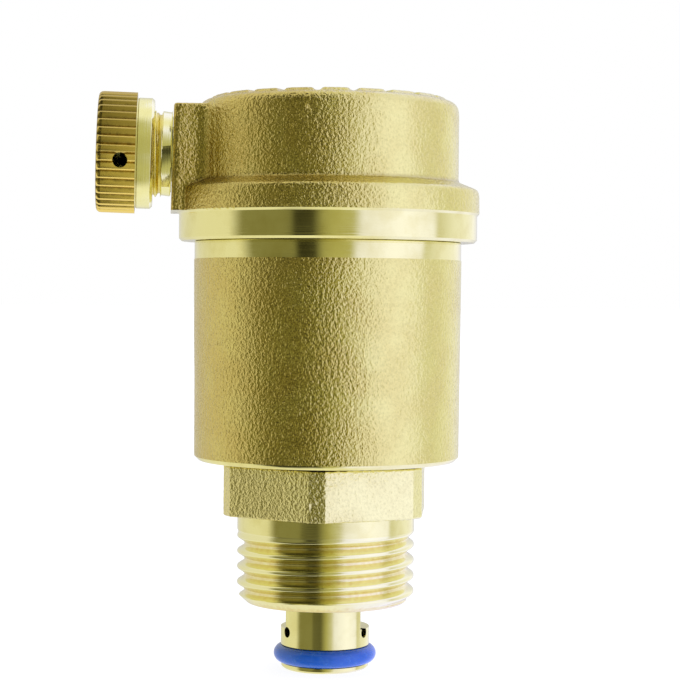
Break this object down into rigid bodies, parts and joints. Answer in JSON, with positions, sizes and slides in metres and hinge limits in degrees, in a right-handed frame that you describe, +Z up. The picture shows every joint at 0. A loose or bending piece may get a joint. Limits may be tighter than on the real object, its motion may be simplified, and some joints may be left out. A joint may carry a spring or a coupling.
{
  "type": "automatic air vent",
  "caption": "Float-operated automatic air vent with a side outlet knob, on a hexagonal self-closing valve base with a male pipe thread and a sprung plunger.",
  "frame": {"origin": "centre of the male pipe thread, in the plane of the hexagon's underside", "axes": "+Z up along the vent's axis, -X towards the side outlet and its knob"},
  "size_m": [0.0448, 0.0354, 0.067],
  "materials": {
    "cast_brass": "shot-blasted casting with machined bands",
    "turned_brass": "bright turned",
    "steel": "spring and sheet steel",
    "blue_rubber": "smooth",
    "black_rubber": "matt",
    "fibre": "pressed fibre",
    "white_plastic": "moulded"
  },
  "bodies": {
    "base": {"valve_base": "cast_brass"},
    "plunger": {"plunger": "turned_brass", "plunger_o_ring": "blue_rubber", "plunger_clip": "steel", "plunger_spring": "steel"},
    "riser": {"base_gasket": "fibre"},
    "vent": {"body": "cast_brass", "cap_seal": "black_rubber", "cap": "cast_brass", "nozzle_seal": "fibre", "outlet_nozzle": "turned_brass", "lever_bracket": "steel", "bracket_nut": "turned_brass", "lever_pin": "steel"},
    "knob_slider": {"knob_seal": "black_rubber"},
    "knob": {"knob": "turned_brass"},
    "lever": {"lever": "white_plastic", "lever_pad": "black_rubber", "link_pin": "steel"},
    "float": {"float_shell": "white_plastic", "float_lid": "white_plastic"}
  },
  "joints": [
    {"name": "plunger_rise", "type": "slide", "parent": "base", "child": "plunger", "axis": [0, 0, 1], "range_m": [0, 0.0061], "deforming": ["plunger_spring"]},
    {"name": "vent_rise", "type": "slide", "parent": "base", "child": "riser", "axis": [0, 0, 1], "range_m": [0, 0.0061]},
    {"name": "vent_turn", "type": "hinge", "parent": "riser", "child": "vent", "pos_m": [0, 0, 0], "axis": [0, 0, 1], "range_deg": [0, 1642]},
    {"name": "knob_travel", "type": "slide", "parent": "vent", "child": "knob_slider", "axis": [-0.9997, 0, 0.0262], "range_m": [-0.00075, 0.0015]},
    {"name": "knob_turn", "type": "hinge", "parent": "knob_slider", "child": "knob", "pos_m": [-0.0182, 0, 0.0416], "axis": [-0.9997, 0, 0.0262], "range_deg": [-540, 1080]},
    {"name": "float_rise", "type": "slide", "parent": "vent", "child": "float", "axis": [0, 0, 1], "range_m": [0, 0.00318]},
    {"name": "lever_swing", "type": "hinge", "parent": "vent", "child": "lever", "pos_m": [-0.00768, 0, 0.03842], "axis": [0, -1, 0], "range_deg": [0, 22.4]}
  ],
  "couplings": [
    {"joint": "vent_rise", "follows": "vent_turn", "m_per_rad": 0.00021276},
    {"joint": "plunger_rise", "follows": "vent_turn", "m_per_rad": 0.00021276},
    {"joint": "knob_travel", "follows": "knob_turn", "m_per_rad": 0.000079577},
    {"joint": "lever_swing", "follows": "float_rise", "rad_per_m": 122.9}
  ]
}
